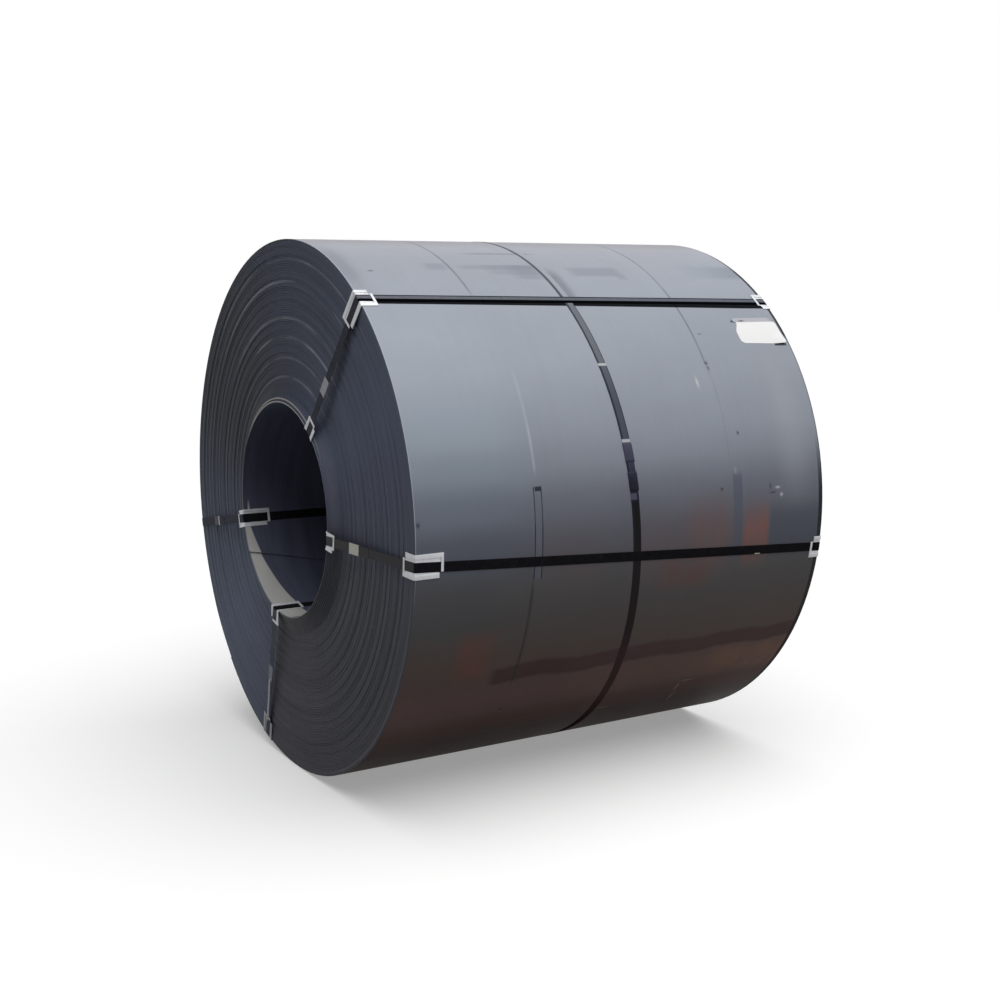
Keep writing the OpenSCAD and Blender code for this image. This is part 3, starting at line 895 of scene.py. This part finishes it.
def add_wall(rows, near, far, radius, angle, bend, slot, flip):
    """Wall between the near and the far row of a turn, with the strip's cut end bent to its tongue."""
    near_x = rows.x_of(near)
    far_x = rows.x_of(far)
    columns = [near]
    for c in range(1, WALL_COLUMNS):
        x = near_x + (far_x - near_x) * c / WALL_COLUMNS
        across = (x - MID_X) / (STRIP_W / 2)
        columns.append(rows.add(on_coil(x, radius, angle - bend * np.clip(1 - across ** 2, 0, 1))))
    columns.append(far)
    for a, b in zip(columns, columns[1:]):
        rows.join(a, b, slot, flip)
    first = np.array([column[0] for column in columns])
    last = np.array([column[-1] for column in columns])
    rows.join(first, last, ENDS, False)


def make_coil(body, ends, bore):
    """The wound strip as one closed spiral: grooved ends, body, eye and the strip's two cut ends."""
    rows = Rows()
    near_edge, far_edge = strip_edges()
    near = add_end(rows, -1, near_edge)
    far = add_end(rows, 1, far_edge)
    step = np.arange(STEPS + 1)
    bend = TONGUE * smooth(1 - np.minimum(step, STEPS - step) / TONGUE_FADE)
    radius, angle = INNER_R[:STEPS + 1], STRIP_ANGLE[:STEPS + 1]
    add_wall(rows, near["mouth"], far["mouth"], radius, angle, bend, BORE, True)
    radius, angle = INNER_R[-STEPS - 1:] + STRIP_T, STRIP_ANGLE[-STEPS - 1:]
    add_wall(rows, near["rim"], far["rim"], radius, angle, -bend * BORE_R / COIL_R, BODY, False)
    cut_corners = [near["head"], near["tail"][::-1], far["head"][::-1], far["tail"]]
    rows.add_faces(np.array(cut_corners), ENDS)
    return rows.make("wound_strip", [body, ends, bore])


# Section of a strap, as place across from -1 to 1 and height from 0 to 1
STRAP_SECTION = np.array([
    (-0.98, 0), (-1, 0.5), (-0.98, 1), (-0.5, 1), (0, 1), (0.5, 1),
    (0.98, 1), (1, 0.5), (0.98, 0), (0.5, 0), (0, 0), (-0.5, 0),
])
# Degrees between the sections of the body strap, and sections along its lap and along an eye strap's lap
BELLY_STEP = 1.5
BELLY_LAP_STEPS = 30
EYE_LAP_STEPS = 12


def unit(vectors):
    return vectors / np.linalg.norm(vectors, axis=-1, keepdims=True)


def ribbon(points, normals, curving, closed):
    """Vertices, faces and places across of a band that follows points on a wall of some curving."""
    if closed:
        tangents = np.roll(points, -1, 0) - np.roll(points, 1, 0)
    else:
        tangents = np.gradient(points, axis=0)
    sideways = unit(np.cross(normals, unit(tangents)))
    across = STRAP_SECTION[:, 0] * STRAP_W / 2
    height = STRAP_SECTION[:, 1] * STRAP_T
    rise = height[None, :] - across[None, :] ** 2 * curving[:, None] / 2
    made = points[:, None] + sideways[:, None] * across[None, :, None] + normals[:, None] * rise[:, :, None]
    n = len(points)
    m = len(STRAP_SECTION)
    index = np.arange(n * m).reshape(n, m)
    here = index if closed else index[:-1]
    there = np.roll(index, -1, 0) if closed else index[1:]
    quads = np.stack([here, there, np.roll(there, -1, 1), np.roll(here, -1, 1)], -1).reshape(-1, 4)
    faces = quads.tolist()
    if not closed:
        faces += [index[0].tolist(), index[-1][::-1].tolist()]
    return made.reshape(-1, 3), faces, np.tile(STRAP_SECTION[:, 0], n)


def strap_object(name, ribbons, material):
    points = []
    faces = []
    across = []
    for made, made_faces, made_across in ribbons:
        start = sum(len(block) for block in points)
        faces += [[start + i for i in face] for face in made_faces]
        points.append(made)
        across.append(made_across)
    obj = new_object(name, np.concatenate(points), faces, [material], None, SHARP_FROM)
    layer = obj.data.attributes.new("across", "FLOAT", "POINT")
    layer.data.foreach_set("value", np.concatenate(across).astype(np.float32))
    return obj


def belly_run(angles, height):
    """Points and normals of the body strap's underside: a leaning loop round the body."""
    lean = math.tan(math.radians(BELLY_TILT)) * COIL_R * np.cos(np.radians(angles))
    x = MID_X - lean + BELLY_WANDER * np.sin(np.radians(3 * angles))
    points = on_coil(x, COIL_R + height, angles)
    return points, on_coil(0.0, 1.0, angles) - (0, 0, AXIS_Z)


def make_belly_strap(material):
    points, normals = belly_run(np.arange(0, FULL_TURN, BELLY_STEP), 0.0)
    loop = ribbon(points, normals, np.full(len(points), 1 / COIL_R), True)
    points, normals = belly_run(np.linspace(*BELLY_LAP, BELLY_LAP_STEPS), STRAP_T)
    lap = ribbon(points, normals, np.full(len(points), 1 / COIL_R), False)
    return strap_object("body_strap", [loop, lap], material)


# Corners of the wall's section that the eye straps bend round, as radius, axial place and height of the strap
SEAT = np.array([
    (BORE_R, NEAR_RIM_X - TELESCOPE * (1 + STRIP_T / WALL), INNER_LIFT),
    (COIL_R, NEAR_RIM_X, OUTER_LIFT),
    (COIL_R, FAR_RIM_X, OUTER_LIFT),
    (BORE_R + TELESCOPE_RING, FAR_RIM_X, INNER_LIFT),
    (BORE_R, FAR_RIM_X - TELESCOPE, INNER_LIFT),
])
# Sides of that section, each named after what it runs along and numbered by the corner that it starts from
ALONG_NEAR_END, ALONG_BODY, ALONG_EYE = 0, 1, 4
BEND_STEPS = 5
RUN_STEPS = 36


def side_normals():
    sides = unit(np.roll(SEAT, -1, 0)[:, :2] - SEAT[:, :2])
    return np.stack([sides[:, 1], -sides[:, 0]], -1)


def corner_bend(corner, before, after):
    """Points and normals of a strap bent round one corner."""
    centre = corner[:2] - CORNER * (before + after) / (1 + before @ after)
    normals = unit(np.linspace(before, after, BEND_STEPS))
    return centre + (CORNER + corner[2]) * normals, normals


def section_loop():
    """Points and normals round the wall's section, and the side that each point lies on."""
    outward = side_normals()
    bends = [corner_bend(SEAT[i], outward[i - 1], outward[i]) for i in range(len(SEAT))]
    points = []
    normals = []
    sides = []
    for i, (bend, bend_normals) in enumerate(bends):
        following = bends[(i + 1) % len(bends)][0][0]
        run = np.linspace(bend[-1], following, RUN_STEPS)[1:-1]
        points += [bend, run]
        normals += [bend_normals, np.tile(outward[i], (len(run), 1))]
        sides += [i] * (len(bend) + len(run))
    return np.concatenate(points), np.concatenate(normals), np.array(sides)


def run_angle(radius, at_eye, at_rim):
    """Angle on the straight line over an end from the eye to the rim."""
    share = ((radius - BORE_R) / WALL)[:, None]
    eye = BORE_R * np.array([math.sin(math.radians(at_eye)), math.cos(math.radians(at_eye))])
    rim = COIL_R * np.array([math.sin(math.radians(at_rim)), math.cos(math.radians(at_rim))])
    line = eye + (rim - eye) * share
    return np.degrees(np.arctan2(line[:, 0], line[:, 1])) % FULL_TURN


def on_strap(section, normal, angle):
    """A strap's points and normals in space from its section points and angles."""
    points = on_coil(section[:, 1], section[:, 0], angle)
    normals = on_coil(0.0, normal[:, 0], angle) - (0, 0, AXIS_Z)
    normals[:, 0] = normal[:, 1]
    return points, normals


def eye_loop(s, section, normal, side):
    """Closed band of an eye strap."""
    near_rim, far_rim, near_eye, far_eye = EYE_ANGLES[s]
    radius, x = section.T
    along = np.clip((x - NEAR_RIM_X) / STRIP_W, 0, 1)
    on_body = near_rim + (far_rim - near_rim) * along
    in_eye = near_eye + (far_eye - near_eye) * along
    near = run_angle(radius, near_eye, near_rim)
    far = run_angle(radius, far_eye, far_rim)
    places = [side == ALONG_NEAR_END, side == ALONG_BODY, side == ALONG_EYE]
    angle = np.select(places, [near, on_body, in_eye], far)
    points, normals = on_strap(section, normal, angle)
    return ribbon(points, normals, normal[:, 0] / radius, True)


def eye_lap(s, section, side):
    """Second layer of an eye strap, where its ends lap on the -X end."""
    reach = np.linspace(-EYE_LAP / 2, EYE_LAP / 2, EYE_LAP_STEPS) + EYE_SEAL_AT[s]
    run = section[side == ALONG_NEAR_END][BEND_STEPS - 1:]
    lap_x = np.interp(reach, run[:, 0], run[:, 1])
    outward = np.tile(side_normals()[ALONG_NEAR_END], (len(reach), 1))
    lap_section = np.stack([reach, lap_x], -1) + outward * STRAP_T
    angle = run_angle(reach, EYE_ANGLES[s][NEAR_EYE], EYE_ANGLES[s][NEAR_RIM])
    points, normals = on_strap(lap_section, outward, angle)
    return ribbon(points, normals, np.zeros(len(points)), False)


def make_eye_strap(s, material):
    section, normal, side = section_loop()
    ribbons = [eye_loop(s, section, normal, side), eye_lap(s, section, side)]
    return strap_object("strap_through_eye_%d" % (s + 1), ribbons, material)


# Rounds of the label's corners, by side along the axis and round it
LABEL_ROUND = {(-1, -1): 5 * MM, (1, -1): 12 * MM, (-1, 1): 18 * MM, (1, 1): 10 * MM}
LABEL_COLUMNS = 38
LABEL_ROWS = 24
# Shift of the label's -X edge at its upper end and its change over the upper half, and skew of the lower edge
LABEL_SLANT = (8 * MM, 21 * MM)
LABEL_SKEW = 4 * MM
# Peeled strip past the upper edge: rows, depth, least depth, sideways pull at its -X end and lift
FOLD_ROWS = 5
FOLD = 14 * MM
FOLD_LEAST = 2 * MM
FOLD_PULL = 26 * MM
FOLD_LIFT = 4 * MM
# Reach and lift of the loose corner
LOOSE_REACH = 60 * MM
LOOSE_LIFT = 7 * MM


def rounded(place, half):
    """Bends the corners of a grid on a rectangle to quarter rounds."""
    place = place.copy()
    for (sx, sy), radius in LABEL_ROUND.items():
        sign = np.array([sx, sy])
        local = (place * sign - (half - radius)) / radius
        inside = (local > 0).all(-1)
        a, b = local[inside].T
        bent = np.stack([a * np.sqrt(1 - b * b / 2), b * np.sqrt(1 - a * a / 2)], -1)
        place[inside] = ((half - radius) + bent * radius) * sign
    return place


def label_grid(half):
    """Places on the label, with a strip past its upper edge that has peeled off and curls out."""
    edge = np.linspace(-1, 1, LABEL_COLUMNS)
    u, v = np.meshgrid(edge, np.linspace(-1, 1, LABEL_ROWS))
    paper = rounded(np.stack([u, v], -1) * half, half)
    paper[..., 0] += (1 - u) / 2 * (LABEL_SLANT[0] - LABEL_SLANT[1] * smooth(v + 1))
    paper[..., 1] += smooth(v) * (u - 0.4) * LABEL_SKEW
    share = np.linspace(1, 0, FOLD_ROWS, endpoint=False)[:, None]
    fall = FOLD * smooth((1.05 - edge) / 0.5) * smooth((edge + 1.1) / 0.3) + FOLD_LEAST
    strip_x = paper[0, :, 0] - FOLD_PULL * share * smooth((-0.55 - edge) / 0.45)
    strip = np.stack([strip_x, paper[0, :, 1] - share * fall], -1)
    strip_lift = share * np.full(LABEL_COLUMNS, FOLD_LIFT)
    lift = np.concatenate([strip_lift, np.zeros((LABEL_ROWS, LABEL_COLUMNS))])
    return np.concatenate([strip, paper]), lift


def sheet_faces(index):
    """Faces of a closed sheet, from a grid of its upper vertices; the lower ones are numbered after."""
    quads = np.stack([index[:-1, :-1], index[1:, :-1], index[1:, 1:], index[:-1, 1:]], -1).reshape(-1, 4)
    border = np.concatenate([index[0, :-1], index[:-1, -1], index[-1, :0:-1], index[:0:-1, 0]])
    beyond = np.roll(border, -1)
    below = index.size
    wall = np.stack([border, beyond, beyond + below, border + below], -1)
    return np.concatenate([quads, quads[:, ::-1] + below, wall])


def make_label(material):
    """Paper label whose upper edge has peeled and whose lower corner toward +X has come loose."""
    half = np.array([(label_high.x - label_low.x) / 2, LABEL_H / 2])
    place, lift = label_grid(half)
    loose = smooth(1 - np.linalg.norm(place - half, axis=-1) / LOOSE_REACH)
    lift = lift + LOOSE_LIFT * loose
    x = (label_high.x + label_low.x) / 2 + place[..., 0]
    angle = LABEL_AT + np.degrees(place[..., 1] / COIL_R)
    top = on_coil(x, COIL_R + LABEL_T + lift, angle).reshape(-1, 3)
    bottom = on_coil(x, COIL_R + lift, angle).reshape(-1, 3)
    faces = sheet_faces(np.arange(len(top)).reshape(place.shape[:2]))
    points = np.concatenate([top, bottom])
    return new_object("paper_label", points, faces.tolist(), [material], None, LABEL_SHARP_FROM)


# Camera: focal length and sensor width in mm, heading from +Y toward +X, dip and place
LENS = 50.985
SENSOR = 36
YAW = math.radians(31.2557)
PITCH = math.radians(8.79159)
CAMERA_AT = Vector((-2.74765, -4.62934, 1.74717))
# Light: the world's level for bounced light, the sun's level, its spread in degrees and where it comes from
AMBIENT = 0.14
KEY_LEVEL = 0.85
KEY_SPREAD = 75
KEY_FROM = Vector((0.1, -0.3, 0.95))
# Floor: half its width, its tone for bounced light, and its glow and tone where it is seen
FLOOR_REACH = 60
FLOOR_BOUNCE = 0.22
FLOOR_GLOW = 0.3
FLOOR_SHADE = 0.78


def place_camera():
    data = bpy.data.cameras.new("camera")
    data.lens = LENS
    data.sensor_width = SENSOR
    camera = bpy.data.objects.new("camera", data)
    level = math.cos(PITCH)
    forward = Vector((level * math.sin(YAW), level * math.cos(YAW), -math.sin(PITCH)))
    camera.location = CAMERA_AT
    camera.rotation_euler = forward.to_track_quat("-Z", "Y").to_euler()
    bpy.context.scene.collection.objects.link(camera)
    bpy.context.scene.camera = camera


def seen_directly(tree):
    """1 for rays that come from the camera or from a mirror or glass, 0 for light that bounces on."""
    path = tree.nodes.new("ShaderNodeLightPath")
    total = path.outputs["Is Camera Ray"]
    for name in ("Is Glossy Ray", "Is Transmission Ray"):
        add = tree.nodes.new("ShaderNodeMath")
        add.operation = "MAXIMUM"
        tree.links.new(total, add.inputs[0])
        tree.links.new(path.outputs[name], add.inputs[1])
        total = add.outputs[0]
    return total


def light_scene():
    world = bpy.data.worlds.new("studio")
    bpy.context.scene.world = world
    world.use_nodes = True
    tree = world.node_tree
    back = tree.nodes["Background"]
    back.inputs["Color"].default_value = (1, 1, 1, 1)
    strength = tree.nodes.new("ShaderNodeMapRange")
    strength.inputs["To Min"].default_value = AMBIENT
    tree.links.new(seen_directly(tree), strength.inputs["Value"])
    tree.links.new(strength.outputs[0], back.inputs["Strength"])
    data = bpy.data.lights.new("key", "SUN")
    data.energy = KEY_LEVEL * math.pi
    data.angle = math.radians(KEY_SPREAD)
    key = bpy.data.objects.new("key", data)
    key.rotation_euler = KEY_FROM.to_track_quat("Z", "Y").to_euler()
    bpy.context.scene.collection.objects.link(key)


def floor_material():
    """White where it is seen, with a light shadow, and darker for the light that it throws back up."""
    g = Graph("studio_floor")
    g.tree.nodes.remove(g.shader)
    bounced = g.node("ShaderNodeBsdfDiffuse", {"Color": (FLOOR_BOUNCE,) * 3 + (1,)})
    shaded = g.node("ShaderNodeBsdfDiffuse", {"Color": (FLOOR_SHADE,) * 3 + (1,)})
    glow = g.node("ShaderNodeEmission", {"Strength": FLOOR_GLOW})
    seen = g.node("ShaderNodeAddShader", {0: shaded.outputs[0], 1: glow.outputs[0]})
    shaders = {0: seen_directly(g.tree), 1: bounced.outputs[0], 2: seen.outputs[0]}
    mixed = g.node("ShaderNodeMixShader", shaders)
    g.tree.links.new(mixed.outputs[0], g.tree.nodes["Material Output"].inputs["Surface"])
    return g.material


def lay_floor():
    corners = [(sx * FLOOR_REACH, sy * FLOOR_REACH, 0) for sx, sy in ((-1, -1), (1, -1), (1, 1), (-1, 1))]
    floor = new_object("floor", corners, [(0, 1, 2, 3)], [floor_material()])


# Rounds on the edges of the solids that stay in view, where faces meet at more than so many degrees
SEAL_EDGE = 0.2 * MM
RIM_GUARD_EDGE = 0.15 * MM
EYE_GUARD_EDGE = 0.06 * MM
EDGE_FROM = 40
EDGE_SEGMENTS = 2
WELD_GAP = 0.001 * MM


def dress(prefix, material, edge):
    """Gives the solids whose names start with prefix their material and rounded edges."""
    for name, node in frame["nodes"].items():
        if not name.startswith(prefix):
            continue
        node.data.materials.clear()
        node.data.materials.append(material)
        weld = node.modifiers.new("weld", "WELD")
        weld.merge_threshold = WELD_GAP
        bevel = node.modifiers.new("edges", "BEVEL")
        bevel.width = edge
        bevel.segments = EDGE_SEGMENTS
        bevel.limit_method = "ANGLE"
        bevel.angle_limit = math.radians(EDGE_FROM)


adopt(make_coil(body_material(), end_material(), bore_material()), "coil")
adopt(make_belly_strap(belly_material()), "belly_strap")
paint = strap_material()
for s in range(len(EYE_ANGLES)):
    adopt(make_eye_strap(s, paint), "eye_strap_%d" % (s + 1))
adopt(make_label(label_material()), "label")
dress("belly_seal", belly_material(), SEAL_EDGE)
dress("eye_seal", seal_material(), SEAL_EDGE)
zinc = guard_material()
dress("rim_guard", zinc, RIM_GUARD_EDGE)
dress("eye_guard", zinc, EYE_GUARD_EDGE)

place_camera()
light_scene()
lay_floor()
bpy.context.scene.view_settings.view_transform = "Standard"
